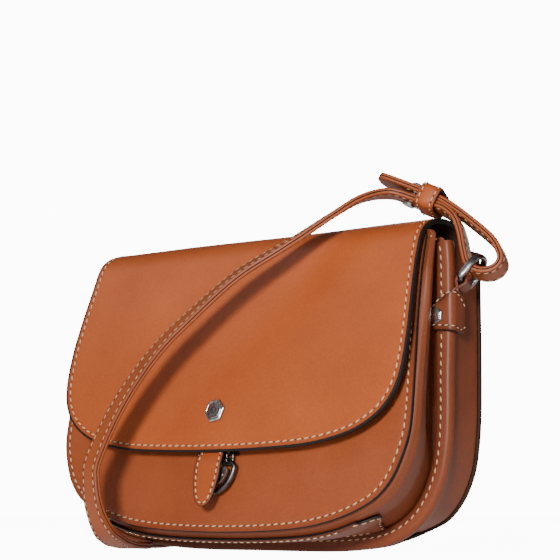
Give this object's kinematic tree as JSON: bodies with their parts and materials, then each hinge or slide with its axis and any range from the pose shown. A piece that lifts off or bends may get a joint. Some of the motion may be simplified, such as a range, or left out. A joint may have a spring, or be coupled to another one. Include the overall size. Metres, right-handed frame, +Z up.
{
  "type": "crossbody saddle bag",
  "caption": "Curved leather saddle bag with a roll-over flap, double compartment, snap closure behind a stitched tab, and a looped crossbody strap on side rings.",
  "frame": {"origin": "middle of the flat base under the rear compartment", "axes": "+X to the viewer's right, +Y to the back of the bag, +Z up"},
  "size_m": [0.2956, 0.2528, 0.2038],
  "materials": {
    "hide": "smooth cognac cowhide, satin, with dark painted edges and cream stitching",
    "hide_shade": "smooth cognac cowhide, satin, a little darker where it turns from the light",
    "steel": "polished nickel with a light antique wash",
    "dark_steel": "dark antique nickel"
  },
  "bodies": {
    "root": {"back_panel": "hide", "rear_gusset": "hide_shade", "middle_panel": "hide_shade", "front_gusset": "hide_shade", "front_panel": "hide", "flap": "hide", "front_base_overlay": "hide_shade", "rear_base_overlay": "hide_shade", "closure_tab": "hide", "clasp_frame": "dark_steel", "clasp_staple": "dark_steel", "flap_stud": "steel", "side_tab_right": "hide", "side_tab_left": "hide", "tab_stud_right": "steel", "tab_stud_left": "steel", "ring_right": "steel", "ring_left": "steel", "strap": "hide", "strap_keeper": "hide", "strap_button": "steel", "strap_rivet": "steel"},
    "gate": {"clasp_gate": "dark_steel"}
  },
  "joints": [
    {"name": "gate_hinge", "type": "hinge", "parent": "root", "child": "gate", "pos_m": [-0.001, -0.05832, 0.0471], "axis": [1, 0, 0], "range_deg": [0, 10], "stiffness_Nm_per_rad": 0.02, "springref_deg": -5.73}
  ]
}
